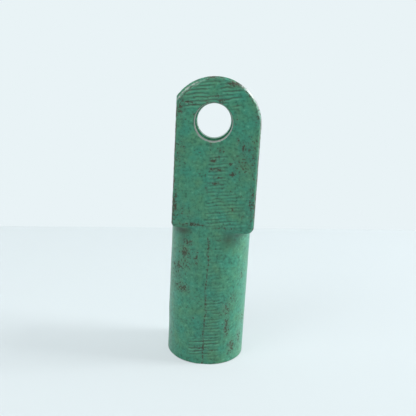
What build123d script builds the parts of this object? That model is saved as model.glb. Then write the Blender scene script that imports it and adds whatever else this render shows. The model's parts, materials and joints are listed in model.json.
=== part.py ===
from build123d import *
import os

# Clevis rod end: one solid piece, a square forked head on a round, tapped shank.
#
# Origin: centre of the shank's foot face. +Z runs up the shank to the fork.
# The pin bore runs along Y through both ears, and the slot between the ears is open along X.
# All lengths are in millimetres.

# Shank
SHANK_DIAMETER = 35.6
SHANK_LENGTH = 61.9        # foot face to the underside of the head, on its left half
FOOT_CHAMFER = 0.5

# Head
HEAD_WIDTH = 35.3          # along X
HEAD_DEPTH = 34.2          # along Y; the shank is skimmed flush with the head's front and back
HEAD_LENGTH = 63.4         # underside of the left half to the top of the rounded end
HEAD_OFFSET = 0.5          # the head's centre line stands this far right of the shank's axis
HALF_MISMATCH = 1.3        # the right half's underside lies this much lower than the left's
EDGE_RADIUS = 1.8          # edges round the front and the back, down the sides and underneath
RIGHT_CORNER_EASE = 1.6    # lower right corner of the flat front, inside its rounded edge
LEFT_CORNER_EASE = 0.4     # lower left corner, likewise
ROOT_RADIUS = 1.5          # where the shank runs into the head's underside

# Rounded end: an arc tangent to the right side, which meets the left side at a corner
LEFT_CORNER_RISE = 10.6    # that corner's height above the arc's centre
END_BEVEL = 1.0

# Fork
SLOT_WIDTH = 15.9
SLOT_DEPTH = 47.6          # top of the rounded end to the slot's floor
SLOT_FLOOR_RADIUS = 1.6
SLOT_EDGE_BREAK = 0.4      # deburred edges of the slot's two side walls

# Pin bore
PIN_BORE = 15.9
PIN_TO_END = 18.4          # bore centre to the top of the rounded end
PIN_OFFSET = -1.6          # bore centre from the shank's axis, along X
PIN_RIM_CHAMFER = 0.4

# Tapped hole for the rod, 3/4-16, drawn at its minor diameter
THREAD_MAJOR = 19.05
THREAD_MINOR = 17.5
THREAD_DEPTH = 50.8
DRILL_POINT_HEIGHT = 5.2   # cone that the drill leaves above the thread
COUNTERSINK_MARGIN = 0.4   # the mouth is this much wider than the thread, on the radius

# Worked out from the sizes above
front = HEAD_DEPTH / 2
head_left = HEAD_OFFSET - HEAD_WIDTH / 2
head_right = HEAD_OFFSET + HEAD_WIDTH / 2
right_underside = SHANK_LENGTH - HALF_MISMATCH
shank_top = SHANK_LENGTH + EDGE_RADIUS + LEFT_CORNER_EASE
top = SHANK_LENGTH + HEAD_LENGTH
end_radius = (HEAD_WIDTH**2 + LEFT_CORNER_RISE**2) / (2 * HEAD_WIDTH)
end_x = head_right - end_radius
end_z = top - end_radius
slot_floor = top - SLOT_DEPTH
pin_z = top - PIN_TO_END
thread_radius = THREAD_MINOR / 2
countersink = (THREAD_MAJOR - THREAD_MINOR) / 2 + COUNTERSINK_MARGIN


def head_half(side, underside, corner_ease):
    """One half of the head below its rounded end, from the shank's axis out to one side."""
    with BuildPart() as half:
        with BuildSketch(Plane.XZ) as outline:
            with BuildLine():
                Polyline((0, underside), (side, underside), (side, end_z), (0, end_z), close=True)
            make_face()
            outer_corner = outline.vertices().sort_by_distance((side, underside))[0]
            fillet(outer_corner, EDGE_RADIUS + corner_ease)
        extrude(amount=front, both=True)
        rims = half.faces().filter_by(Axis.Y).edges()
        top_edges = rims.group_by(Axis.Z)[-1]
        inner_edges = rims.sort_by(lambda edge: abs(edge.center().X))[:2]
        fillet(rims - top_edges - inner_edges, EDGE_RADIUS)
    return half.part


# Rounded end: a bevelled half disc, trimmed to the head's footprint
with BuildPart() as rounded_end:
    with BuildSketch(Plane.XY.offset(end_z)) as disc_section:
        with Locations((end_x, 0)):
            Rectangle(end_radius, HEAD_DEPTH, align=(Align.MIN, Align.CENTER))
        chamfer(disc_section.vertices().group_by(Axis.X)[-1], END_BEVEL)
    revolve(axis=Axis((end_x, 0, end_z), (0, 1, 0)), revolution_arc=-180)
    with BuildSketch(Plane.XY.offset(end_z)):
        with Locations((HEAD_OFFSET, 0)):
            RectangleRounded(HEAD_WIDTH, HEAD_DEPTH, EDGE_RADIUS)
    extrude(amount=end_radius, mode=Mode.INTERSECT)

# Shank: turned, then skimmed to the head's depth, which leaves a flat strip front and back
with BuildPart() as shank:
    with BuildSketch(Plane.XZ) as shank_profile:
        Rectangle(SHANK_DIAMETER / 2, shank_top, align=(Align.MIN, Align.MIN))
        foot_corner = shank_profile.vertices().sort_by_distance((SHANK_DIAMETER / 2, 0))[0]
        chamfer(foot_corner, FOOT_CHAMFER)
    revolve(axis=Axis.Z)
    with BuildSketch():
        Rectangle(SHANK_DIAMETER, HEAD_DEPTH)
    extrude(amount=shank_top, mode=Mode.INTERSECT)

with BuildPart() as clevis_body:
    # Forging: both halves of the head, the rounded end and the shank with its root fillets
    add(head_half(head_left, SHANK_LENGTH, LEFT_CORNER_EASE))
    add(head_half(head_right, right_underside, RIGHT_CORNER_EASE))
    add(rounded_end.part)
    add(shank.part)
    faces_down = clevis_body.faces().filter_by(lambda face: face.normal_at().Z < -0.99)
    undersides = faces_down - faces_down.sort_by(Axis.Z)[:1]
    fillet(undersides.edges().filter_by(GeomType.CIRCLE), ROOT_RADIUS)

    # Slot between the ears, open at the top and at both sides
    with BuildSketch(Plane.YZ) as slot_section:
        with Locations((0, slot_floor)):
            Rectangle(SLOT_WIDTH, SLOT_DEPTH + end_radius, align=(Align.CENTER, Align.MIN))
        fillet(slot_section.vertices().group_by(Axis.Y)[0], SLOT_FLOOR_RADIUS)
    extrude(amount=HEAD_WIDTH, both=True, mode=Mode.SUBTRACT)
    walls = clevis_body.faces().filter_by(Axis.Y).sort_by(lambda face: abs(face.center().Y))[:2]
    wall_edges = walls.edges()
    chamfer(wall_edges - wall_edges.group_by(Axis.Z)[0], SLOT_EDGE_BREAK)

    # Pin bore through both ears, with its outer rims eased
    with BuildSketch(Plane.XZ):
        with Locations((PIN_OFFSET, pin_z)):
            Circle(PIN_BORE / 2)
    extrude(amount=front, both=True, mode=Mode.SUBTRACT)
    outer_faces = clevis_body.faces().filter_by(Axis.Y).sort_by(Axis.Y)
    outer_edges = outer_faces[0].edges() + outer_faces[-1].edges()
    chamfer(outer_edges.filter_by(lambda edge: edge.is_closed), PIN_RIM_CHAMFER)

    # Tapped hole up from the foot: countersink, thread and drill point
    with BuildSketch(Plane.XZ):
        with BuildLine():
            Polyline(
                (0, 0),
                (thread_radius + countersink, 0),
                (thread_radius, countersink),
                (thread_radius, THREAD_DEPTH),
                (0, THREAD_DEPTH + DRILL_POINT_HEIGHT),
                close=True,
            )
        make_face()
    revolve(axis=Axis.Z, mode=Mode.SUBTRACT)

os.makedirs("parts", exist_ok=True)
clevis_body.part.label = "clevis_body"
export_step(clevis_body.part, "parts/clevis_body.step")
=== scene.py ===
# %% [markdown]
# # A worn, painted clevis rod end
#
# A clevis rod end screws onto a rod and holds a pin between its two ears. This one was
# forged in steel, ground where the halves of the die met, bored, tapped and painted green.
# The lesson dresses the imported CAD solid: it never moves it, and a detailed skin stands for it.

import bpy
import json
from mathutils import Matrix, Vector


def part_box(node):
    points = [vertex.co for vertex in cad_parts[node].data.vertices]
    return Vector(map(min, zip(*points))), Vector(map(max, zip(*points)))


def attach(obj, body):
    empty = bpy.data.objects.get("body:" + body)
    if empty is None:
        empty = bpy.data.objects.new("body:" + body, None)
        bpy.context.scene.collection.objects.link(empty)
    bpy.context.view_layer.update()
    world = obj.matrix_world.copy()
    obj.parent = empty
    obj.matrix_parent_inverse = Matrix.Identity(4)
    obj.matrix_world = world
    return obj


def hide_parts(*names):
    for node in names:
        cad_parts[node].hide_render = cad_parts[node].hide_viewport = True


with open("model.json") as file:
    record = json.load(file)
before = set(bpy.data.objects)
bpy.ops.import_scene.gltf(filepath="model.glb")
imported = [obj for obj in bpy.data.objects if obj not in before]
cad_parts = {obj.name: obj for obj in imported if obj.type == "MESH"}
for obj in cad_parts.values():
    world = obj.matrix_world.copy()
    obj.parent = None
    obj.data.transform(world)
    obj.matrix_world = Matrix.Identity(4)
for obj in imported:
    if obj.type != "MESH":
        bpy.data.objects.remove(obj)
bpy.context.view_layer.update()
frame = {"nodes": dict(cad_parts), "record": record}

# %% Libraries
import json
import math

import bmesh
import bpy
import numpy as np
from mathutils import Matrix, Vector

# %% [markdown]
# ## Small helpers
#
# Every node tree below is built with one function that adds a node, sets it up and links it.
# Colours are written as the hex codes that a paint card or a screen gives, which are sRGB, and
# Blender works in linear light, so one function turns them round. Sizes are in millimetres, as
# on a workshop drawing, and MM turns them to Blender's metres.

# %% Helpers
MM = 0.001


def colour(code):
    """An sRGB hex code as the linear RGBA that Blender's sockets take."""
    parts = [int(code[i : i + 2], 16) / 255 for i in (1, 3, 5)]
    linear = [p / 12.92 if p <= 0.04045 else ((p + 0.055) / 1.055) ** 2.4 for p in parts]
    return (*linear, 1.0)


def add(tree, kind, inputs=None, **settings):
    """Adds a node. inputs gives each named or numbered socket a value, or the output that feeds it."""
    made = tree.nodes.new(kind)
    for name, value in settings.items():
        setattr(made, name, value)
    for key, value in (inputs or {}).items():
        if isinstance(value, bpy.types.NodeSocket):
            tree.links.new(value, made.inputs[key])
        else:
            made.inputs[key].default_value = value
    return made


def soft(value, low, high):
    """A smooth step: 0 where value is at low, 1 where it is at high."""
    t = np.clip((value - low) / (high - low), 0.0, 1.0)
    return t * t * (3 - 2 * t)


def band(value, middle, half):
    """A soft band: 1 where value is at middle, and near 0 from two halves away."""
    return np.exp(-(((value - middle) / half) ** 2))


# %% [markdown]
# ## The sizes that the skin needs
#
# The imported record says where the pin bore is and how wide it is, and the CAD box gives the
# reach, so the skin follows the part if it is packed again. The rest repeats the part's own
# drawing: the arc of the rounded end, the slot and the step under the head.

# %% Sizes, in millimetres
BODY = "clevis_body"
LOW, HIGH = (np.array(corner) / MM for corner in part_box(BODY))
FACE = HIGH[1]                # half the depth of the head, and the flat of its front
pin = next(m for m in frame["record"]["mounts"] if m["name"] == "pin_bore")
PIN_CENTRE = (pin["pos_m"][0] / MM, pin["pos_m"][2] / MM)     # in x and z
PIN_RADIUS = pin["dims"]["r_mm"]
END_CENTRE = (-1.09, 106.06)  # of the rounded end's arc, in x and z
END_RADIUS = 19.24
SLOT_HALF = 7.95
SLOT_FLOOR = 77.7
SHANK_RADIUS = 17.8
HEAD_LEFT = -17.15            # the head's left side, a little inside the shank's
HEAD_MIDDLE = 0.5
LEDGE_FROM, LEDGE_TO = 60.9, 64.1   # where the shank's left side meets the head
print("Pin bore:", PIN_CENTRE, "radius", PIN_RADIUS)

# %% [markdown]
# ## Even quads
#
# A CAD solid arrives as few, long triangles, which can't carry dents or scratches. The Remesh
# modifier in Sharp mode lays a grid of small squares over them and keeps the corners. A voxel
# remesh would round every edge, and Subdivide would only cut the long triangles into more
# long triangles. The imported triangles are loose, so the copy is welded first.

# %% Weld a copy of the solid
WELD = 0.002
QUAD_DEPTH = 8
QUAD_SCALE = 0.9


def welded_copy(source):
    """A closed mesh from the node's loose triangles."""
    bm = bmesh.new()
    bm.from_mesh(source.data)
    bmesh.ops.remove_doubles(bm, verts=bm.verts, dist=WELD * MM)
    bmesh.ops.dissolve_degenerate(bm, dist=WELD * MM / 2, edges=bm.edges)
    mesh = bpy.data.meshes.new("welded")
    bm.to_mesh(mesh)
    bm.free()
    return mesh


def as_mesh(thing, name):
    """The thing with its modifiers made real."""
    graph = bpy.context.evaluated_depsgraph_get()
    mesh = bpy.data.meshes.new_from_object(thing.evaluated_get(graph))
    mesh.name = name
    return mesh


def put(name, mesh):
    """A new object that shows the mesh."""
    thing = bpy.data.objects.new(name, mesh)
    bpy.context.scene.collection.objects.link(thing)
    return thing


forging = put("forging", welded_copy(frame["nodes"][BODY]))
remesh = forging.modifiers.new("Even quads", "REMESH")
remesh.mode = "SHARP"
remesh.octree_depth = QUAD_DEPTH
remesh.scale = QUAD_SCALE
remesh.use_remove_disconnected = False
quads = as_mesh(forging, "quads")
forging.modifiers.clear()
forging.data = quads
print("Quads:", len(quads.polygons))


# %% Read and write points
def points_of(mesh):
    """The mesh's points in millimetres, one row each."""
    flat = np.empty(len(mesh.vertices) * 3, np.float32)
    mesh.vertices.foreach_get("co", flat)
    return flat.reshape(-1, 3).astype(float) / MM


def move_points(mesh, points):
    """Puts the points back, kept inside the CAD solid's box."""
    inside = np.clip(points, LOW, HIGH) * MM
    mesh.vertices.foreach_set("co", inside.astype(np.float32).ravel())
    mesh.update()


def store(mesh, name, values):
    """Keeps a number for each point, which node trees read by its name."""
    layer = mesh.attributes.get(name) or mesh.attributes.new(name, "FLOAT", "POINT")
    layer.data.foreach_set("value", values.astype(np.float32))


# %% [markdown]
# ## Filed and worn by hand
#
# The rounded end was trimmed with a grinder, so its bevel isn't even: it is widest at the
# upper left, where it has been knocked back to bare steel. Points near that edge are pushed
# back onto a 45 degree slope. The shank's left side is dressed in the same way: a file has
# sloped the ledge under the head, and the lowest stretch stands a little further in.
# All of it only ever takes metal away, so the skin stays inside the solid.

# %% File the rounded end
WORN_BEVEL = 1.9            # width of the widest part of the bevel
PLAIN_BEVEL = 1.0
WORN_FROM, WORN_TO = 112.0, 152.0   # degrees round the end's centre, anticlockwise from +X


def round_the_end(points):
    """How far each point is inside the end's arc, and its angle round the arc's centre."""
    across, up = points[:, 0] - END_CENTRE[0], points[:, 2] - END_CENTRE[1]
    return END_RADIUS - np.hypot(across, up), np.degrees(np.arctan2(up, across))


def worn_share(angle):
    """1 along the worn stretch of the end's bevel, 0 away from it."""
    return soft(angle, WORN_FROM - 12, WORN_FROM + 8) * soft(-angle, -WORN_TO - 8, -WORN_TO + 4)


points = points_of(quads)
depth_in, angle = round_the_end(points)
uneven = 0.22 * np.sin(angle * 0.55) + 0.13 * np.sin(angle * 1.7 + 1.0)   # a hand's wobble
width = PLAIN_BEVEL + (WORN_BEVEL - PLAIN_BEVEL + uneven) * worn_share(angle)
slope = FACE - np.clip(width - depth_in, 0, None)
filed = (points[:, 1] < 0) & (angle > 0) & (depth_in < width) & (points[:, 1] < -slope)
points[filed, 1] = -slope[filed]
print("Points filed on the end:", int(filed.sum()))

# %% File the shank's left side
TRIM = 0.3                  # how far the lowest stretch stands in
TRIM_LOW, TRIM_HIGH = 12.0, 20.0
TRIM_RIGHT, TRIM_LEFT = 11.0, 15.0  # it grows between these distances left of the axis

up = np.clip((points[:, 2] - LEDGE_FROM) / (LEDGE_TO - LEDGE_FROM), 0, 1)
limit = SHANK_RADIUS + (HEAD_LEFT + SHANK_RADIUS + 0.01) * -up
ledge = (points[:, 2] > LEDGE_FROM - 0.4) & (points[:, 2] < LEDGE_TO + 0.1)
ledge &= points[:, 0] < -limit
points[ledge, 0] = -limit[ledge]
lowest = soft(-points[:, 2], -TRIM_HIGH, -TRIM_LOW) * soft(-points[:, 0], TRIM_RIGHT, TRIM_LEFT)
points[:, 0] += TRIM * lowest
move_points(quads, points)
print("Points filed on the shank:", int(ledge.sum()), "and", int((lowest > 0).sum()))

# %% [markdown]
# ## Where the surface is worn
#
# Rust, bare steel and grinding marks aren't spread evenly. Each is kept as a number per point:
# the shaders and the relief both read it, so a pit and its rust lie in the same place. Rust
# starts on edges, where paint is thin, so one of them is how sharply the surface bends.

# %% Measure how sharply the surface bends
def normals_of(mesh):
    """The direction that the surface faces at each point."""
    flat = np.empty(len(mesh.vertices) * 3, np.float32)
    mesh.vertices.foreach_get("normal", flat)
    return flat.reshape(-1, 3)


def bend_of(mesh, points, rounds=2):
    """Convex bend at each point in 1/mm, smoothed over its neighbours."""
    normals = normals_of(mesh)
    ends = np.empty(len(mesh.edges) * 2, int)
    mesh.edges.foreach_get("vertices", ends)
    a, b = ends.reshape(-1, 2).T
    step = points[b] - points[a]
    far = np.maximum((step**2).sum(1), 0.01)
    count = np.bincount(a, minlength=len(points)) + np.bincount(b, minlength=len(points))
    at_a = -(step * normals[a]).sum(1) / far
    at_b = (step * normals[b]).sum(1) / far
    bend = np.bincount(a, at_a, len(points)) + np.bincount(b, at_b, len(points))
    bend /= np.maximum(count, 1)
    for _ in range(rounds):
        near = np.bincount(a, bend[b], len(points)) + np.bincount(b, bend[a], len(points))
        bend = 0.5 * bend + 0.5 * near / np.maximum(count, 1)
    return bend


# %% Rust patches
# Each is its middle (x, z), half its width and height, and how thick the rust is. They lie on
# the front; the back has its own few.
FRONT_RUST = [
    # rounded end
    (-2.7, 124.8, 4.2, 0.7, 1.0), (5.6, 122.6, 3.4, 1.1, 1.0), (9.6, 121.3, 1.3, 0.8, 1.0),
    (-0.2, 117.4, 1.9, 0.5, 1.2), (-4.4, 115.4, 2.2, 0.9, 0.75), (1.4, 115.6, 1.6, 0.6, 1.2),
    (-12.4, 114.6, 3.4, 1.0, 0.7), (-15.4, 112.5, 2.0, 4.0, 0.75), (16.4, 109.7, 1.6, 3.0, 0.7),
    (7.8, 109.7, 1.0, 3.5, 0.5), (-9.6, 109.8, 0.7, 0.7, 0.9),
    # middle of the head
    (8.9, 100.1, 0.6, 1.8, 1.0), (11.2, 97.1, 1.0, 1.8, 1.1), (-2.0, 97.6, 0.6, 1.4, 0.8),
    (2.2, 95.8, 1.6, 1.2, 0.75), (1.0, 92.7, 3.2, 1.3, 0.6), (-0.6, 91.3, 1.4, 0.8, 1.2),
    (0.6, 87.7, 2.8, 0.6, 1.2), (1.1, 84.3, 2.6, 0.5, 0.9), (0.6, 81.9, 2.4, 0.5, 1.1),
    (6.4, 90.2, 1.1, 0.8, 0.9), (7.6, 86.0, 1.5, 0.9, 1.2), (11.8, 90.0, 5.6, 5.4, 0.55),
    (13.2, 97.0, 3.0, 4.0, 0.45), (-2.9, 79.5, 0.5, 1.6, 0.95), (15.9, 92.0, 1.4, 9.0, 0.6),
    (-15.6, 94.0, 2.2, 9.0, 0.5), (-13.2, 96.5, 1.2, 2.6, 0.5),
    # foot of the head
    (-16.3, 72.0, 1.6, 9.0, 0.85), (-13.6, 69.5, 2.4, 4.0, 0.5), (-9.7, 67.4, 3.4, 2.4, 0.4),
    (-8.1, 63.9, 6.5, 0.8, 0.95), (16.4, 74.0, 1.6, 8.0, 0.75), (12.8, 69.0, 1.6, 1.8, 0.5),
    (8.6, 71.2, 0.8, 0.8, 0.9), (6.0, 62.9, 7.0, 0.5, 0.7),
    # shank
    (-9.6, 55.4, 2.4, 1.2, 0.95), (-11.1, 50.6, 2.8, 3.0, 0.8), (-13.5, 43.7, 2.4, 1.8, 0.85),
    (-13.7, 40.2, 3.0, 3.6, 0.55), (-11.5, 34.3, 3.6, 2.2, 0.85), (-5.6, 49.0, 1.0, 5.5, 0.75),
    (-10.0, 47.0, 3.6, 7.0, 0.55), (-7.0, 30.5, 1.6, 0.8, 0.5), (8.6, 26.5, 2.4, 3.6, 0.7),
    (9.2, 17.5, 1.2, 5.0, 0.85), (11.6, 30.6, 1.6, 3.0, 0.45), (11.9, 7.4, 1.6, 3.4, 0.9),
    (15.2, 10.2, 1.0, 4.8, 0.6), (-6.2, 21.8, 1.2, 1.0, 0.6), (-1.8, 7.5, 4.2, 1.0, 0.6),
    (0.2, 15.0, 4.2, 2.4, 0.2), (14.6, 40.5, 0.5, 1.5, 0.85), (5.0, 57.6, 3.0, 0.4, 0.8),
    (16.6, 18.0, 0.8, 3.0, 0.6),
]
BACK_RUST = [
    (-12.5, 84.0, 4.0, 9.0, 0.5), (9.0, 96.0, 3.0, 4.0, 0.7), (13.5, 70.0, 3.0, 6.0, 0.8),
    (-3.0, 64.5, 6.0, 1.2, 0.8), (2.0, 122.0, 6.0, 2.0, 0.8), (-9.0, 40.0, 3.5, 8.0, 0.7),
    (7.5, 21.0, 4.0, 6.0, 0.8), (-2.0, 9.0, 6.0, 3.0, 0.7), (11.5, 47.0, 2.6, 4.0, 0.6),
    (-13.5, 112.0, 2.0, 5.0, 0.6),
]
# Painted shade under the head's overhang, with some greasy grime, in the same form
FRONT_SHADE_AND_DIRT = [
    (-12.6, 60.2, 4.0, 1.7, 1.0), (-12.0, 56.5, 1.6, 3.0, 0.35), (7.6, 58.3, 2.6, 3.0, 0.75),
    (11.6, 59.4, 2.6, 1.3, 0.75), (9.8, 56.4, 2.6, 2.4, 0.45),
]
print("Rust patches:", len(FRONT_RUST), "in front,", len(BACK_RUST), "behind")


def patches(points, rows, side):
    """How thick the rows' rust, or grime and painted shade, is on one side, -1 for the front and 1 for
    the back.
    """
    total = np.zeros(len(points))
    for x, z, half_width, half_height, strength in rows:
        away = ((points[:, 0] - x) / half_width) ** 2 + ((points[:, 2] - z) / half_height) ** 2
        total = np.maximum(total, strength * np.exp(-0.8 * away))
    return total * soft(side * points[:, 1], 2.0, 6.0)


# %% Where the grinder went
# A box is its reach in x and z, how softly its right end fades, and how strong the marks are.
GROUND = [
    (-13.5, 9.0, 112.0, 123.5, 3.0, 1.0), (-2.4, 5.0, 79.0, 94.0, 2.0, 0.65),
    (-2.6, 13.0, 63.0, 79.0, 9.0, 0.65), (-0.7, 6.4, 30.0, 60.5, 3.0, 0.28),
    (-0.7, 6.4, 3.0, 31.0, 2.0, 0.65), (-7.0, 6.0, 4.5, 12.5, 1.0, 1.0),
]
SEAM_X = -0.7               # the rust line where the die's halves met, down the shank


def ground_share(x, y, z):
    """How much of the grinder's marks each point carries, on the front and, mirrored, behind."""
    share = np.zeros(len(x))
    across = np.where(y < 0, x, -x)
    for left, right, low, high, fade, strength in GROUND:
        here = soft(across, left - 0.3, left + 0.1)
        here *= soft(-across, -right - fade / 2, -right + fade / 2)
        here *= soft(z, low - 1, low + 0.6) * soft(-z, -high - 0.6, -high + 1)
        share = np.maximum(share, strength * here)
    return share * soft(np.abs(y), 12.0, 15.0)


# %% Mark the wear, the painted shade and the painted highlights on a mesh
EDGE_FROM, EDGE_FULL = 0.10, 0.45   # bend in 1/mm at which rust starts, and at which it is full
STREAK_IN, BURR_IN, RUBBED_IN = 1.05, 2.0, 1.1  # distances in from the end's arc
STREAK_BARE = 0.68          # paint still clings to the streak in places
BACK_BORE_BARE = 0.45       # the bore of the back ear is stained
EDGE_RUST, BURR_RUST, RUBBED_RUST = 0.6, 0.95, 0.9
UPRIGHT_DIRT = 0.75         # dirt that the knocked upright edges hold


def mark_wear_and_painted_light(mesh):
    """Stores the share of each kind of wear, painted shade and painted highlight on the mesh's points.
    """
    points = points_of(mesh)
    x, y, z = points.T
    depth_in, angle = round_the_end(points)
    to_pin = np.hypot(x - PIN_CENTRE[0], z - PIN_CENTRE[1])
    in_slot = (np.abs(y) < SLOT_HALF + 0.5) & (z > SLOT_FLOOR - 0.1)
    in_bore = to_pin < PIN_RADIUS + 0.1
    at_rim = (to_pin < PIN_RADIUS + 0.7) & (np.abs(y) > SLOT_HALF + 1.0)
    foot = z < 0.2
    bend = bend_of(mesh, points)
    edge = soft(bend, EDGE_FROM, EDGE_FULL) * ~in_bore

    # the worn bevel is bare along its middle only: paint holds on both sides of the streak
    streak = worn_share(angle) * band(depth_in, STREAK_IN, 0.42) * (y < 0)
    streak *= soft(np.abs(y), 14.0, 15.2)
    burr = worn_share(angle - 14) * band(depth_in, BURR_IN, 0.3) * (y < -15)
    # the upper right bevel is made pale grey: a painted highlight where it catches light, partly worn
    # paint
    rubbed_and_highlight = soft(angle, 16, 24) * soft(-angle, -68, -56) * soft(-depth_in, -0.75, -0.45)
    rubbed_and_highlight *= soft(np.abs(y), 15.2, 16.0)
    under_rub = soft(angle, 8, 24) * soft(-angle, -66, -54) * band(depth_in, RUBBED_IN, 0.35)
    under_rub *= soft(np.abs(y), 16.0, 16.8)

    seam = np.where(y < 0, x, -x) - SEAM_X - 0.25 * np.sin(z * 0.31) - 0.15 * np.sin(z * 0.83)
    line = band(seam, 0.0, 0.42) * soft(-z, -60.5, -58.0) * soft(np.abs(y), 12.0, 15.0)
    rust = np.maximum(patches(points, FRONT_RUST, -1), patches(points, BACK_RUST, 1))
    # knocks along the head's upright edges, and a scrape down the shank's left side
    knocks = 0.9 + 0.4 * np.sin(z * 0.62 + 1.3) * np.sin(z * 0.23 + x)
    upright = soft(np.abs(x - HEAD_MIDDLE), 16.4, 17.3) * band(np.abs(y), 15.9, 0.9)
    upright *= (z > 62) * (z < 113)
    scrape = band(y + 1.4 + 0.4 * np.sin(z * 0.4), 0.0, 0.9) * soft(-x, 17.0, 17.5) * soft(z, 14, 20)
    upright = knocks * np.maximum(upright, scrape * (z < 61))
    others = [EDGE_RUST * edge, upright, line, BURR_RUST * burr, RUBBED_RUST * under_rub]
    rust = np.maximum.reduce([rust, *others])
    bore_bare = in_bore * np.where(y < 0, 1.0, BACK_BORE_BARE)
    store(mesh, "skin", 1.0 - (in_slot | in_bore | at_rim | foot))
    store(mesh, "bare", np.maximum(bore_bare, STREAK_BARE * streak))
    store(mesh, "rust", np.clip(rust, 0, 1) * ~in_bore * (1 - 0.9 * streak))
    store(mesh, "scuffed_and_highlight", rubbed_and_highlight)
    # Under the head this darkening is painted shade of its overhang, with some grime; along the upright
    # edges it is grime
    store(mesh, "dirt_and_shade", np.maximum(patches(points, FRONT_SHADE_AND_DIRT, -1), UPRIGHT_DIRT * upright))
    store(mesh, "ground", ground_share(x, y, z) * ~in_slot)
    store(mesh, "line", line)
    return bend


bend = mark_wear_and_painted_light(quads)
print("Sharpest bend, 1/mm:", round(float(bend.max()), 2))

# %% [markdown]
# ## Patterns that paint and relief share
#
# A shader tree and a Geometry Nodes tree have the same texture nodes, and these give the same
# value at the same place in both. So the rust spots and the grinding marks are written once, as
# recipes that add their nodes to whichever tree asks. Their scales come from real sizes: a rust
# spot is about 1 mm, and a grinder's marks lie about 1.5 mm apart and run 6 to 10 mm.

# %% Recipes for either kind of tree
SPOT = 1.0                  # width of a rust spot
RUST_LIFT = 0.27            # how far full rust lifts the noise towards the level it has to pass
MARK_GAP, MARK_LENGTH = 1.45, 8.0
MARK_TILT = math.radians(7.0)   # the grinder was held so that its marks rise to the right
WAVE_PERIOD = math.tau / 20     # of the Wave texture's bands at a scale of 1


def rust_spots(tree, place, thickness):
    """Rust as 0 to 1: noise that passes a level, which thicker rust lowers."""
    noise = add(
        tree, "ShaderNodeTexNoise",
        {"Vector": place, "Scale": 1 / SPOT, "Detail": 4.0, "Roughness": 0.62},
    )
    risen = add(
        tree, "ShaderNodeMath",
        {0: thickness, 1: RUST_LIFT, 2: noise.outputs[0]}, operation="MULTIPLY_ADD",
    )
    return add(
        tree, "ShaderNodeMapRange",
        {"Value": risen.outputs[0], "From Min": 0.66, "From Max": 0.74}, interpolation_type="SMOOTHSTEP",
    ).outputs[0]


def grinding_marks(tree, place):
    """Thin marks as 0 to 1: evenly spaced bands, a little wavy, that stop and start again."""
    turned = add(
        tree, "ShaderNodeVectorRotate", {"Vector": place, "Axis": (0.0, 1.0, 0.0), "Angle": MARK_TILT},
        rotation_type="AXIS_ANGLE",
    )
    bands = add(
        tree, "ShaderNodeTexWave",
        {"Vector": turned.outputs[0], "Scale": WAVE_PERIOD / MARK_GAP, "Distortion": 2.6, "Detail": 1.0,
         "Detail Scale": 1.1},
        wave_type="BANDS", bands_direction="Z", wave_profile="SIN",
    )
    thin = add(
        tree, "ShaderNodeMapRange",
        {"Value": bands.outputs["Fac"], "From Min": 0.62, "From Max": 0.97},
        interpolation_type="SMOOTHSTEP",
    )
    stretched = add(
        tree, "ShaderNodeVectorMath",
        {0: turned.outputs[0], 1: (1 / MARK_LENGTH, 1 / MARK_LENGTH, 1 / MARK_GAP)},
        operation="MULTIPLY",
    )
    broken = add(
        tree, "ShaderNodeTexNoise",
        {"Vector": stretched.outputs[0], "Scale": 1.0, "Detail": 1.0},
    )
    held = add(
        tree, "ShaderNodeMapRange",
        {"Value": broken.outputs[0], "From Min": 0.36, "From Max": 0.52},
        interpolation_type="SMOOTHSTEP",
    )
    return add(
        tree, "ShaderNodeMath",
        {0: thin.outputs[0], 1: held.outputs[0]}, operation="MULTIPLY",
    ).outputs[0]


# %% [markdown]
# ## Finishes: enamel over forged steel
#
# The green is a brushed alkyd enamel: a coloured film with a satin gloss, so the shader is a
# dielectric with a middling roughness. Where it has gone, the steel under it is either rust,
# which is rough and has no metal look, or bare and bright. Colour drifts over a few millimetres
# because the film is thin and dirty, and dirt sits in the grinder's marks.

# %% Start a material
def start_material(name):
    """An empty material, and the object's own coordinates in millimetres."""
    made = bpy.data.materials.new(name)
    made.use_nodes = True
    made.node_tree.nodes.clear()
    own = add(made.node_tree, "ShaderNodeTexCoord").outputs["Object"]
    scaled = add(made.node_tree, "ShaderNodeVectorMath", {0: own, "Scale": 1 / MM}, operation="SCALE")
    return made, made.node_tree, scaled.outputs[0]


# %% Enamel
ENAMEL = "#379076"
ENAMEL_THIN = "#518F66"     # where the film is thin and the dirt shows through
ENAMEL_DEEP = "#1D5B45"     # in the hollows of the forging's skin
ENAMEL_PALE_AND_HIGHLIGHT = "#73BF9C"     # where it has chalked, and painted highlights on the crests between the grinder's marks
GRIME = "#383E2E"
STAIN = "#516251"
RUST = "#574F40"
RUST_DARK = "#2A2B26"
STEEL = "#ACB2AE"
STEEL_STAINED = "#92938A"
SCUFFED_AND_HIGHLIGHT = "#929C98"         # painted highlight on the upper right bevel, partly paint worn through to its grey undercoat
DIRT_AND_SHADE = "#304B34"            # painted shade under the head's overhang, with some grime, and grime on the knocked upright edges

# The share of what lies under it that each layer hides, where it is thickest
CHALK_COVER = 0.6
BLED_COVER = 0.38
RIDGE_HIGHLIGHT_COVER = 0.35          # painted highlights: pale streaks on the crests between the grinder's marks
GRIME_COVER = 0.7
DIRT_AND_SHADE_COVER = 0.85
RUST_COVER = 0.88
ROUGH_FILM, ROUGH_STEEL, ROUGH_RUST = 0.34, 0.58, 0.88

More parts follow.
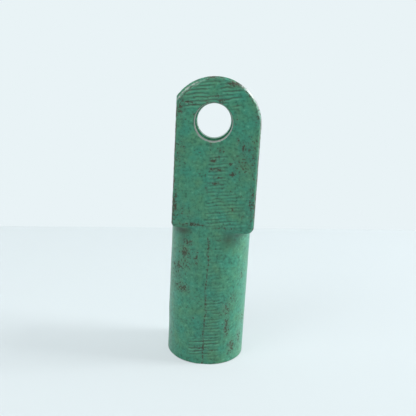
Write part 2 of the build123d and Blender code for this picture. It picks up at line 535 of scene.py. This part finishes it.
enamel, tree, place = start_material("green_enamel_on_forged_steel")
mark = {
    name: add(tree, "ShaderNodeAttribute", attribute_name=name).outputs["Fac"]
    for name in ("rust", "bare", "scuffed_and_highlight", "dirt_and_shade", "ground")
}
drift = add(
    tree, "ShaderNodeTexNoise",
    {"Vector": place, "Scale": 0.16, "Detail": 5.0, "Roughness": 0.6},
)
drift = add(
    tree, "ShaderNodeMapRange",
    {"Value": drift.outputs[0], "From Min": 0.38, "From Max": 0.68, "To Max": 0.8},
)
paint = add(
    tree, "ShaderNodeMix",
    {0: drift.outputs[0], 6: colour(ENAMEL), 7: colour(ENAMEL_THIN)}, data_type="RGBA",
)
fine = add(
    tree, "ShaderNodeTexNoise",
    {"Vector": place, "Scale": 0.75, "Detail": 4.0, "Roughness": 0.65},
)
hollow = add(
    tree, "ShaderNodeMapRange",
    {"Value": fine.outputs[0], "From Min": 0.50, "From Max": 0.68, "To Max": 0.85},
)
paint = add(
    tree, "ShaderNodeMix",
    {0: hollow.outputs[0], 6: paint.outputs[2], 7: colour(ENAMEL_DEEP)}, data_type="RGBA",
)
chalk = add(tree, "ShaderNodeMapRange", {"Value": fine.outputs[0], "From Min": 0.42, "From Max": 0.26})
chalk = add(tree, "ShaderNodeMath", {0: chalk.outputs[0], 1: CHALK_COVER}, operation="MULTIPLY")
paint = add(
    tree, "ShaderNodeMix",
    {0: chalk.outputs[0], 6: paint.outputs[2], 7: colour(ENAMEL_PALE_AND_HIGHLIGHT)}, data_type="RGBA",
)

# %% Dirt in the grinder's marks, painted highlights between them, and rust that has bled into the film around its patches
bled = add(tree, "ShaderNodeMath", {0: mark["rust"], 1: BLED_COVER}, operation="MULTIPLY")
paint = add(
    tree, "ShaderNodeMix", {0: bled.outputs[0], 6: paint.outputs[2], 7: colour(STAIN)}, data_type="RGBA",
)
# Painted highlights: the crests half a gap from the grinder's marks are made pale, where a gloss would
# catch light
between = add(tree, "ShaderNodeVectorMath", {0: place, 1: (0.0, 0.0, MARK_GAP / 2)}, operation="ADD")
ridge_highlights = add(
    tree, "ShaderNodeMath", {0: grinding_marks(tree, between.outputs[0]), 1: mark["ground"]},
    operation="MULTIPLY",
)
ridge_highlights = add(tree, "ShaderNodeMath", {0: ridge_highlights.outputs[0], 1: RIDGE_HIGHLIGHT_COVER}, operation="MULTIPLY")
paint = add(
    tree, "ShaderNodeMix",
    {0: ridge_highlights.outputs[0], 6: paint.outputs[2], 7: colour(ENAMEL_PALE_AND_HIGHLIGHT)}, data_type="RGBA",
)
streaks = add(
    tree, "ShaderNodeMath", {0: grinding_marks(tree, place), 1: mark["ground"]}, operation="MULTIPLY",
)
grimy = add(tree, "ShaderNodeMath", {0: streaks.outputs[0], 1: GRIME_COVER}, operation="MULTIPLY")
paint = add(
    tree, "ShaderNodeMix",
    {0: grimy.outputs[0], 6: paint.outputs[2], 7: colour(GRIME)}, data_type="RGBA",
)

# Painted shade under the head's overhang, with some grime, and grime along the upright edges
dirtied_and_shaded = add(tree, "ShaderNodeMath", {0: mark["dirt_and_shade"], 1: DIRT_AND_SHADE_COVER}, operation="MULTIPLY")
paint = add(
    tree, "ShaderNodeMix", {0: dirtied_and_shaded.outputs[0], 6: paint.outputs[2], 7: colour(DIRT_AND_SHADE)}, data_type="RGBA",
)
# Pale grey on the upper right bevel: a painted highlight, partly paint worn to its undercoat
scuffed_and_highlight = add(
    tree, "ShaderNodeMath", {0: mark["scuffed_and_highlight"], 1: 0.7, 2: fine.outputs[0]}, operation="MULTIPLY_ADD",
)
scuffed_and_highlight = add(
    tree, "ShaderNodeMapRange",
    {"Value": scuffed_and_highlight.outputs[0], "From Min": 0.85, "From Max": 1.0},
)
paint = add(
    tree, "ShaderNodeMix",
    {0: scuffed_and_highlight.outputs[0], 6: paint.outputs[2], 7: colour(SCUFFED_AND_HIGHLIGHT)}, data_type="RGBA",
)

# %% Bare metal and rust
rusty = rust_spots(tree, place, mark["rust"])
grain = add(tree, "ShaderNodeTexNoise", {"Vector": place, "Scale": 1.6, "Detail": 3.0, "Roughness": 0.7})
rust_colour = add(
    tree, "ShaderNodeMix",
    {0: grain.outputs[0], 6: colour(RUST_DARK), 7: colour(RUST)}, data_type="RGBA",
)
freckles = add(tree, "ShaderNodeTexNoise", {"Vector": place, "Scale": 1.5, "Detail": 2.0})
freckles = add(
    tree, "ShaderNodeMath", {0: mark["rust"], 1: 0.12, 2: freckles.outputs[0]}, operation="MULTIPLY_ADD",
)
freckles = add(
    tree, "ShaderNodeMapRange",
    {"Value": freckles.outputs[0], "From Min": 0.65, "From Max": 0.72},
)
flocks = add(tree, "ShaderNodeTexNoise", {"Vector": place, "Scale": 0.14, "Detail": 2.0})
flocks = add(
    tree, "ShaderNodeMapRange",
    {"Value": flocks.outputs[0], "From Min": 0.46, "From Max": 0.62, "To Max": 0.85},
)
freckles = add(
    tree, "ShaderNodeMath",
    {0: freckles.outputs[0], 1: flocks.outputs[0]}, operation="MULTIPLY",
)
rusted = add(tree, "ShaderNodeMath", {0: rusty, 1: RUST_COVER}, operation="MULTIPLY")
rusted = add(tree, "ShaderNodeMath", {0: rusted.outputs[0], 1: freckles.outputs[0]}, operation="MAXIMUM")

chipped = add(
    tree, "ShaderNodeMath", {0: mark["bare"], 1: 0.8, 2: fine.outputs[0]}, operation="MULTIPLY_ADD",
)
chipped = add(
    tree, "ShaderNodeMapRange", {"Value": chipped.outputs[0], "From Min": 0.86, "From Max": 1.0},
    interpolation_type="SMOOTHSTEP",
)
metal = add(
    tree, "ShaderNodeMix",
    {0: grain.outputs[0], 6: colour(STEEL_STAINED), 7: colour(STEEL)}, data_type="RGBA",
)
surface = add(
    tree, "ShaderNodeMix",
    {0: chipped.outputs[0], 6: paint.outputs[2], 7: metal.outputs[2]}, data_type="RGBA",
)
surface = add(
    tree, "ShaderNodeMix", {0: rusted.outputs[0], 6: surface.outputs[2], 7: rust_colour.outputs[2]},
    data_type="RGBA",
)

# %% Gloss, and the fine unevenness of the film
MARK_DENT, RUST_DENT = -0.8, -0.6   # against the film's own unevenness, which is 0 to 1
BUMP_HEIGHT = 0.12

unrusted = add(tree, "ShaderNodeMath", {0: 1.0, 1: rusty}, operation="SUBTRACT")
metallic = add(
    tree, "ShaderNodeMath",
    {0: chipped.outputs[0], 1: unrusted.outputs[0]}, operation="MULTIPLY",
)
smooth = add(
    tree, "ShaderNodeMapRange",
    {"Value": chipped.outputs[0], "To Min": ROUGH_FILM, "To Max": ROUGH_STEEL},
)
rough = add(
    tree, "ShaderNodeMapRange",
    {"Value": rusted.outputs[0], "To Min": smooth.outputs[0], "To Max": ROUGH_RUST},
)
orange_peel = add(
    tree, "ShaderNodeTexNoise",
    {"Vector": place, "Scale": 1.1, "Detail": 4.0, "Roughness": 0.6},
)
height = add(
    tree, "ShaderNodeMath",
    {0: streaks.outputs[0], 1: MARK_DENT, 2: orange_peel.outputs[0]}, operation="MULTIPLY_ADD",
)
height = add(
    tree, "ShaderNodeMath",
    {0: rusty, 1: RUST_DENT, 2: height.outputs[0]}, operation="MULTIPLY_ADD",
)
bump = add(
    tree, "ShaderNodeBump",
    {"Height": height.outputs[0], "Strength": 0.6, "Distance": BUMP_HEIGHT * MM},
)
shader = add(
    tree, "ShaderNodeBsdfPrincipled",
    {"Base Color": surface.outputs[2], "Metallic": metallic.outputs[0], "Roughness": rough.outputs[0],
     "Normal": bump.outputs[0]},
)
add(tree, "ShaderNodeOutputMaterial", {"Surface": shader.outputs[0]})
print("Material:", enamel.name, "nodes", len(tree.nodes))

# %% [markdown]
# ## Relief of the forged skin
#
# Scale pressed into hot steel leaves it faintly wavy, rust eats pits, and a grinder leaves
# grooves. A Geometry Nodes tree pushes each point in along its normal by those three depths.
# They are small, so the same depths as a bump would look right from the front, but the real
# shape also shows along the outline and stays when the mesh is used without its material.

# %% The relief's node tree
RELIEF_SIZES = {"Wave depth": 0.08, "Pit depth": 0.12, "Groove depth": 0.06, "Seed": 3.0}


def float_input(tree, name):
    """A named number among the tree's inputs, and the identifier that a modifier knows it by."""
    return tree.interface.new_socket(name, in_out="INPUT", socket_type="NodeSocketFloat").identifier


relief = bpy.data.node_groups.new("forged_relief", "GeometryNodeTree")
relief.interface.new_socket("Geometry", in_out="INPUT", socket_type="NodeSocketGeometry")
relief.interface.new_socket("Geometry", in_out="OUTPUT", socket_type="NodeSocketGeometry")
RELIEF_INPUTS = {name: float_input(relief, name) for name in RELIEF_SIZES}
asked = relief.nodes.new("NodeGroupInput")
position = add(relief, "GeometryNodeInputPosition").outputs[0]
place = add(relief, "ShaderNodeVectorMath", {0: position, "Scale": 1 / MM}, operation="SCALE").outputs[0]
marks = {
    name: add(relief, "GeometryNodeInputNamedAttribute", {"Name": name}, data_type="FLOAT").outputs[0]
    for name in ("skin", "rust", "ground", "line")
}

# %% How deep each point is pushed
wave = add(
    relief, "ShaderNodeTexNoise",
    {"Vector": place, "W": asked.outputs["Seed"], "Scale": 0.13, "Detail": 2.0, "Roughness": 0.5},
    noise_dimensions="4D",
)
wave = add(relief, "ShaderNodeMapRange", {"Value": wave.outputs[0], "From Min": 0.48, "From Max": 0.75})
wave = add(
    relief, "ShaderNodeMath",
    {0: wave.outputs[0], 1: asked.outputs["Wave depth"]}, operation="MULTIPLY",
)
pits = add(
    relief, "ShaderNodeMath",
    {0: rust_spots(relief, place, marks["rust"]), 1: asked.outputs["Pit depth"]},
    operation="MULTIPLY",
)
grooves = add(
    relief, "ShaderNodeMath",
    {0: grinding_marks(relief, place), 1: marks["ground"]}, operation="MULTIPLY",
)
grooves = add(relief, "ShaderNodeMath", {0: grooves.outputs[0], 1: marks["line"]}, operation="MAXIMUM")
grooves = add(
    relief, "ShaderNodeMath",
    {0: grooves.outputs[0], 1: asked.outputs["Groove depth"]}, operation="MULTIPLY",
)
deep = add(relief, "ShaderNodeMath", {0: wave.outputs[0], 1: pits.outputs[0]}, operation="ADD")
deep = add(relief, "ShaderNodeMath", {0: deep.outputs[0], 1: grooves.outputs[0]}, operation="ADD")
deep = add(relief, "ShaderNodeMath", {0: deep.outputs[0], 1: marks["skin"]}, operation="MULTIPLY")
deep = add(relief, "ShaderNodeMath", {0: deep.outputs[0], 1: -MM}, operation="MULTIPLY")
outwards = add(relief, "GeometryNodeInputNormal").outputs[0]
push = add(relief, "ShaderNodeVectorMath", {0: outwards, "Scale": deep.outputs[0]}, operation="SCALE")
shape = add(
    relief, "GeometryNodeSetPosition",
    {"Geometry": asked.outputs["Geometry"], "Offset": push.outputs[0]},
)
shape = add(relief, "GeometryNodeRealizeInstances", {"Geometry": shape.outputs[0]})
shape = add(relief, "GeometryNodeSetMaterial", {"Geometry": shape.outputs[0], "Material": enamel})
add(relief, "NodeGroupOutput", {"Geometry": shape.outputs[0]})

# %% Press the relief into the skin
relief_modifier = forging.modifiers.new("Relief", "NODES")
relief_modifier.node_group = relief
for name, value in RELIEF_SIZES.items():
    relief_modifier[RELIEF_INPUTS[name]] = value
skin = as_mesh(forging, "skin")
forging.modifiers.clear()
forging.data = skin
moved = np.linalg.norm(points_of(skin) - points_of(quads), axis=1)
print("Relief, mm: mean", round(float(moved.mean()), 3), "deepest", round(float(moved.max()), 3))
move_points(skin, points_of(skin))

# %% [markdown]
# ## The tapped hole
#
# A tap cuts the rod's thread, so here a solid of the tap's shape is made and taken out of the
# forging. It is a helix, which follows a rule, so Geometry Nodes wrap a flat grid into it: one
# row of points for each corner of the thread's outline, and each row climbs one pitch in one
# turn. The V is the standard 60 degrees with flats, sixteen threads to the inch.

# %% Bare, oiled steel for the tapped hole
# Cut steel is a metal with a fine sheen. Oil has left it darker and browner in drifts of 2 mm.
CUT_STEEL = "#9B968E"
OILY_STEEL = "#6E5B4A"

tapped_steel, tree, place = start_material("tapped_oiled_steel")
stain = add(tree, "ShaderNodeTexNoise", {"Vector": place, "Scale": 0.5, "Detail": 4.0, "Roughness": 0.6})
stained = add(tree, "ShaderNodeMapRange", {"Value": stain.outputs[0], "From Min": 0.4, "From Max": 0.7})
oily = add(
    tree, "ShaderNodeMix",
    {0: stained.outputs[0], 6: colour(CUT_STEEL), 7: colour(OILY_STEEL)}, data_type="RGBA",
)
rough = add(tree, "ShaderNodeMapRange", {"Value": stain.outputs[0], "To Min": 0.28, "To Max": 0.5})
shader = add(
    tree, "ShaderNodeBsdfPrincipled",
    {"Base Color": oily.outputs[2], "Metallic": 1.0, "Roughness": rough.outputs[0]},
)
add(tree, "ShaderNodeOutputMaterial", {"Surface": shader.outputs[0]})
print("Material:", tapped_steel.name)

# %% The tap's sizes
INCH = 25.4
PITCH = INCH / 16
# The tap is a hair larger than the solid's plain hole, which has a radius of 8.75 and a point
# 5.2 high, so that it takes that whole wall
THREAD_MINOR, THREAD_MAJOR = 8.78, 9.525    # radii
THREAD_END = 50.8
# By trial: nearer to the solid's own 9.925, the two rims leave slivers that don't close
MOUTH_RADIUS = 9.96         # of the countersink, at the foot face
POINT_HEIGHT = 5.3          # the drill's cone above the thread
FADE = 4.0                  # the last stretch, over which the tap's cut runs out
TURNS = 35
TURNS_BELOW = 2.0           # the helix starts this many turns below the foot
BELOW_FOOT = 1.0            # and is cut off flat this far below it
COLUMNS = 96
CORNERS = (0.0, 0.25, 0.5625, 0.6875)   # corners of the thread's outline, as shares of a pitch
TAP_SIZES = {
    "Pitch": PITCH, "Minor radius": THREAD_MINOR, "Thread depth": THREAD_MAJOR - THREAD_MINOR,
    "Thread end": THREAD_END, "Mouth radius": MOUTH_RADIUS, "Point height": POINT_HEIGHT,
}

# %% The tap's node tree: which column and row each point of the grid is in
tap = bpy.data.node_groups.new("tap_shape", "GeometryNodeTree")
tap.interface.new_socket("Geometry", in_out="OUTPUT", socket_type="NodeSocketGeometry")
TAP_INPUTS = {name: float_input(tap, name) for name in TAP_SIZES}
asked = tap.nodes.new("NodeGroupInput")
rows = len(CORNERS) * TURNS + 3
grid = add(tap, "GeometryNodeMeshGrid", {"Vertices X": COLUMNS + 1, "Vertices Y": rows})
index = add(tap, "GeometryNodeInputIndex").outputs[0]
column = add(tap, "ShaderNodeMath", {0: index, 1: float(rows)}, operation="DIVIDE")
column = add(tap, "ShaderNodeMath", {0: column.outputs[0]}, operation="FLOOR")
row = add(tap, "ShaderNodeMath", {0: index, 1: float(rows)}, operation="MODULO")
turned = add(tap, "ShaderNodeMath", {0: column.outputs[0], 1: float(COLUMNS)}, operation="DIVIDE")
along = add(tap, "ShaderNodeMath", {0: row.outputs[0], 1: 1.0}, operation="SUBTRACT")
corner = add(
    tap, "ShaderNodeMath",
    {0: along.outputs[0], 1: float(len(CORNERS))}, operation="FLOORED_MODULO",
)
turn = add(tap, "ShaderNodeMath", {0: along.outputs[0], 1: float(len(CORNERS))}, operation="DIVIDE")
turn = add(tap, "ShaderNodeMath", {0: turn.outputs[0]}, operation="FLOOR")

# %% How high each point stands
outline = tap.nodes.new("GeometryNodeIndexSwitch")
outline.data_type = "FLOAT"
for _ in range(len(CORNERS) - len(outline.index_switch_items)):
    outline.index_switch_items.new()
tap.links.new(corner.outputs[0], outline.inputs["Index"])
for number, share in enumerate(CORNERS):
    outline.inputs[number + 1].default_value = share
risen = add(tap, "ShaderNodeMath", {0: turn.outputs[0], 1: turned.outputs[0]}, operation="ADD")
risen = add(tap, "ShaderNodeMath", {0: risen.outputs[0], 1: outline.outputs[0]}, operation="ADD")
risen = add(tap, "ShaderNodeMath", {0: risen.outputs[0], 1: TURNS_BELOW}, operation="SUBTRACT")
height = add(
    tap, "ShaderNodeMath",
    {0: risen.outputs[0], 1: asked.outputs["Pitch"]}, operation="MULTIPLY",
)
height = add(
    tap, "ShaderNodeClamp",
    {"Value": height.outputs[0], "Min": -BELOW_FOOT, "Max": asked.outputs["Thread end"]},
)

# %% How far from the axis it lies
# The last two corners of the outline are at the thread's major radius. The first and the last
# row are closed up on the axis, and the last one is the tip of the drill's cone.
cut = add(tap, "ShaderNodeMath", {0: corner.outputs[0], 1: 1.5}, operation="GREATER_THAN")
fade_from = add(tap, "ShaderNodeMath", {0: asked.outputs["Thread end"], 1: FADE}, operation="SUBTRACT")
fade = add(
    tap, "ShaderNodeMapRange",
    {"Value": height.outputs[0], "From Min": fade_from.outputs[0],
     "From Max": asked.outputs["Thread end"], "To Min": 1.0, "To Max": 0.0},
)
cut = add(tap, "ShaderNodeMath", {0: cut.outputs[0], 1: fade.outputs[0]}, operation="MULTIPLY")
radius = add(
    tap, "ShaderNodeMath",
    {0: cut.outputs[0], 1: asked.outputs["Thread depth"], 2: asked.outputs["Minor radius"]},
    operation="MULTIPLY_ADD",
)
cone = add(
    tap, "ShaderNodeMath",
    {0: asked.outputs["Mouth radius"], 1: height.outputs[0]}, operation="SUBTRACT",
)
radius = add(tap, "ShaderNodeMath", {0: radius.outputs[0], 1: cone.outputs[0]}, operation="MAXIMUM")
first = add(tap, "ShaderNodeMath", {0: row.outputs[0], 1: 0.5}, operation="GREATER_THAN")
last = add(tap, "ShaderNodeMath", {0: row.outputs[0], 1: rows - 1.5}, operation="GREATER_THAN")
open_rows = add(tap, "ShaderNodeMath", {0: first.outputs[0], 1: last.outputs[0]}, operation="SUBTRACT")
radius = add(
    tap, "ShaderNodeMath",
    {0: radius.outputs[0], 1: open_rows.outputs[0]}, operation="MULTIPLY",
)
tip = add(
    tap, "ShaderNodeMath", {0: last.outputs[0], 1: asked.outputs["Point height"], 2: height.outputs[0]},
    operation="MULTIPLY_ADD",
)

# %% Wrap the grid and finish the tree
around = add(tap, "ShaderNodeMath", {0: turned.outputs[0], 1: math.tau}, operation="MULTIPLY")
across = add(tap, "ShaderNodeMath", {0: around.outputs[0]}, operation="COSINE")
across = add(tap, "ShaderNodeMath", {0: across.outputs[0], 1: radius.outputs[0]}, operation="MULTIPLY")
deep = add(tap, "ShaderNodeMath", {0: around.outputs[0]}, operation="SINE")
deep = add(tap, "ShaderNodeMath", {0: deep.outputs[0], 1: radius.outputs[0]}, operation="MULTIPLY")
wrapped = add(tap, "ShaderNodeCombineXYZ", {0: across.outputs[0], 1: deep.outputs[0], 2: tip.outputs[0]})
wrapped = add(tap, "ShaderNodeVectorMath", {0: wrapped.outputs[0], "Scale": MM}, operation="SCALE")
shape = add(
    tap, "GeometryNodeSetPosition",
    {"Geometry": grid.outputs[0], "Position": wrapped.outputs[0]},
)
shape = add(tap, "GeometryNodeMergeByDistance", {"Geometry": shape.outputs[0], "Distance": 0.01 * MM})
shape = add(tap, "GeometryNodeRealizeInstances", {"Geometry": shape.outputs[0]})
shape = add(tap, "GeometryNodeSetMaterial", {"Geometry": shape.outputs[0], "Material": tapped_steel})
add(tap, "NodeGroupOutput", {"Geometry": shape.outputs[0]})

# %% Make the tap solid
tap_solid = put("tap_solid", bpy.data.meshes.new("empty"))
tap_modifier = tap_solid.modifiers.new("Tap", "NODES")
tap_modifier.node_group = tap
for name, value in TAP_SIZES.items():
    tap_modifier[TAP_INPUTS[name]] = value
tap_mesh = as_mesh(tap_solid, "tap")
tap_solid.modifiers.clear()
tap_solid.data = tap_mesh


def mend_and_measure(mesh, slivers=False):
    """Turns the faces outwards, and gives the volume in mm3 and the number of open edges.

    With slivers, it also closes up faces that have no width.
    """
    bm = bmesh.new()
    bm.from_mesh(mesh)
    if slivers:
        bmesh.ops.dissolve_degenerate(bm, dist=WELD * MM, edges=bm.edges)
    bmesh.ops.recalc_face_normals(bm, faces=bm.faces)
    if bm.calc_volume(signed=True) < 0:
        bmesh.ops.reverse_faces(bm, faces=bm.faces)
    volume = bm.calc_volume() / MM**3
    open_edges = sum(1 for e in bm.edges if not e.is_manifold)
    bm.to_mesh(mesh)
    bm.free()
    return round(volume, 1), open_edges


volume, open_edges = mend_and_measure(tap_mesh, slivers=True)
print("Tap: faces", len(tap_mesh.polygons), "volume", volume, "open edges", open_edges)

# %% [markdown]
# ## Cutting the thread
#
# A Boolean takes the tap out of the forging, as the real tap did. The Manifold solver is quick,
# and as both solids are closed, so is what it leaves. Slivers are mended on the tap before the
# cut and not on the forging after it, where that would tear the mesh open. New points on the cut
# have no wear, painted shade or painted highlight yet, so it is marked again, and each face gets
# its finish by whether it lies inside the hole.

# %% Cut the thread
skin.materials.clear()
skin.materials.append(enamel)
skin.materials.append(tapped_steel)
cut = forging.modifiers.new("Tap the hole", "BOOLEAN")
cut.operation = "DIFFERENCE"
cut.solver = "MANIFOLD"
cut.object = tap_solid
body = as_mesh(forging, "clevis")
bpy.data.objects.remove(forging)
bpy.data.objects.remove(tap_solid)
volume, open_edges = mend_and_measure(body)
print("Body: faces", len(body.polygons), "volume", volume, "open edges", open_edges)
mark_wear_and_painted_light(body)


# %% Give each face its finish
def face_centres(mesh):
    """The middle of each face in millimetres, one row each."""
    flat = np.empty(len(mesh.polygons) * 3, np.float32)
    mesh.polygons.foreach_get("center", flat)
    return flat.reshape(-1, 3).astype(float) / MM


centres = face_centres(body)
from_axis = np.hypot(centres[:, 0], centres[:, 1])
hole_top = THREAD_END + POINT_HEIGHT + 0.1
in_hole = (centres[:, 2] > 0.001) & (centres[:, 2] < hole_top) & (from_axis < MOUTH_RADIUS)
body.materials.clear()
body.materials.append(enamel)
body.materials.append(tapped_steel)
body.polygons.foreach_set("material_index", in_hole.astype(np.int32))
body.update()
body.calc_loop_triangles()
print("Faces of the tapped hole:", int(in_hole.sum()), "triangles in all:", len(body.loop_triangles))

# %% Dress the part
SHARP_ANGLE = math.radians(38)   # edges that bend more than this stay crisp
clevis = put("clevis_forging", body)
body.shade_smooth()
body.set_sharp_from_angle(angle=SHARP_ANGLE)
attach(clevis, "root")
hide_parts(BODY)
print("Piece:", clevis.name)

# %% [markdown]
# ## The studio
#
# The part stands on a pale table in front of a pale board. A window's light comes from the
# right, a low reflector fills the side behind it, and two softboxes light the front from the
# left and from above. The camera and the gloss see the table and the board lit evenly, by a
# share of glow that Light Path gives to those rays alone, so no extra light falls on the part
# and its shadow stays.

# %% Floor and backdrop
TABLE = "#E9F3F6"
TABLE_SHADED = "#CAD3D6"
BOARD_DISTANCE = 240.0
BOARD_TURN = math.radians(11.7)
FLOOR_GLOW, BOARD_GLOW = 0.6, 1.0
REACH, RISE = 1600.0, 1300.0    # of the table to each side and to the front, and of the board up


def looked_at(tree):
    """1 for a ray from the camera, or one that a gloss or a glass has turned, and 0 for other rays."""
    ray = add(tree, "ShaderNodeLightPath").outputs
    seen = add(
        tree, "ShaderNodeMath", {0: ray["Is Camera Ray"], 1: ray["Is Glossy Ray"]}, operation="MAXIMUM",
    )
    seen = add(
        tree, "ShaderNodeMath", {0: seen.outputs[0], 1: ray["Is Transmission Ray"]},
        operation="MAXIMUM",
    )
    return seen.outputs[0]


def matt_sheet(name, code, lit_code, glow):
    """A matt material that shows the camera and the gloss a share of plain, unshaded colour."""
    made, tree, _ = start_material(name)
    lit = add(
        tree, "ShaderNodeBsdfPrincipled",
        {"Base Color": colour(lit_code), "Roughness": 1.0, "Specular IOR Level": 0.0},
    )
    plain = add(tree, "ShaderNodeEmission", {"Color": colour(code), "Strength": 1.0})
    looked = add(tree, "ShaderNodeMath", {0: looked_at(tree), 1: glow}, operation="MULTIPLY")
    both = add(
        tree, "ShaderNodeMixShader",
        {0: looked.outputs[0], 1: lit.outputs[0], 2: plain.outputs[0]},
    )
    add(tree, "ShaderNodeOutputMaterial", {"Surface": both.outputs[0]})
    return made


table_mesh = bpy.data.meshes.new("table")
turn_board = Matrix.Translation((0, BOARD_DISTANCE * MM, 0)) @ Matrix.Rotation(BOARD_TURN, 4, "Z")
profile = [(-REACH, 0.0), (0.0, 0.0), (0.0, RISE)]
corners = [turn_board @ (Vector((side * REACH, y, z)) * MM) for y, z in profile for side in (-1, 1)]
table_mesh.from_pydata(corners, [], [(0, 1, 3, 2), (2, 3, 5, 4)])
table_mesh.materials.append(matt_sheet("matt_table_laminate", TABLE, TABLE_SHADED, FLOOR_GLOW))
table_mesh.materials.append(matt_sheet("matt_white_board", TABLE, TABLE, BOARD_GLOW))
table_mesh.polygons[1].material_index = 1
table = put("table", table_mesh)


# %% Lamps
AIM = (0, 0, 0.06)          # about halfway up the part, in metres


def softbox(name, place, aim, size, level):
    """A square area lamp that faces aim. Its place, aim and size are in metres.

    At level 1 a surface at the aim that faces it shows its colour as written.
    """
    light = bpy.data.lights.new(name, "AREA")
    light.size = size
    lamp = bpy.data.objects.new(name, light)
    lamp.location = place
    towards = Vector(aim) - Vector(place)
    light.energy = level * math.pi**2 * towards.length_squared
    lamp.rotation_euler = towards.to_track_quat("-Z", "Y").to_euler()
    bpy.context.scene.collection.objects.link(lamp)
    lamp.visible_camera = False
    print(name, "watts:", round(light.energy, 2))


softbox("window", (1.18, 0.05, 1.2), AIM, 0.35, 0.74)
softbox("reflector", (1.3, 0.44, 0.3), AIM, 0.55, 0.78)
softbox("softbox_left", (-0.47, -0.46, 0.66), AIM, 0.4, 0.29)
softbox("softbox_above", (-0.20, -0.40, 0.95), AIM, 0.4, 0.22)

# %% World
ROOM = "#FAFCFF"
ROOM_LEVEL = 0.1

world = bpy.data.worlds.new("white_room")
bpy.context.scene.world = world
world.use_nodes = True
tree = world.node_tree
tree.nodes.clear()
room = add(tree, "ShaderNodeBackground", {"Color": colour(ROOM), "Strength": ROOM_LEVEL})
backdrop = add(tree, "ShaderNodeBackground", {"Color": colour(TABLE), "Strength": 1.0})
both = add(tree, "ShaderNodeMixShader", {0: looked_at(tree), 1: room.outputs[0], 2: backdrop.outputs[0]})
add(tree, "ShaderNodeOutputWorld", {"Surface": both.outputs[0]})

# %% [markdown]
# ## The camera
#
# It looks slightly down, from in front of the part, and is tipped by three degrees, so that
# the part leans to the right in the frame.

# %% Camera
FOCAL_PIXELS, FRAME_PIXELS = 500.0, 416.0
CAMERA_PLACE = (0.52, -223.08, 113.11)
CAMERA_YAW, CAMERA_PITCH, CAMERA_ROLL = 0.659, -11.453, -3.217     # degrees

lens = bpy.data.cameras.new("camera")
lens.sensor_width = 36.0
lens.lens = lens.sensor_width * FOCAL_PIXELS / FRAME_PIXELS
lens.clip_start, lens.clip_end = 0.01, 10.0
camera = bpy.data.objects.new("camera", lens)
bpy.context.scene.collection.objects.link(camera)
camera.matrix_world = (
    Matrix.Translation(Vector(CAMERA_PLACE) * MM)
    @ Matrix.Rotation(math.radians(CAMERA_YAW), 4, "Z")
    @ Matrix.Rotation(math.radians(CAMERA_PITCH), 4, "X")
    @ Matrix.Rotation(math.radians(CAMERA_ROLL), 4, "Y")
    @ Matrix.Rotation(math.radians(90.0), 4, "X")
)
bpy.context.scene.camera = camera
bpy.context.scene.view_settings.view_transform = "Standard"
print("Lens, mm:", round(lens.lens, 2))
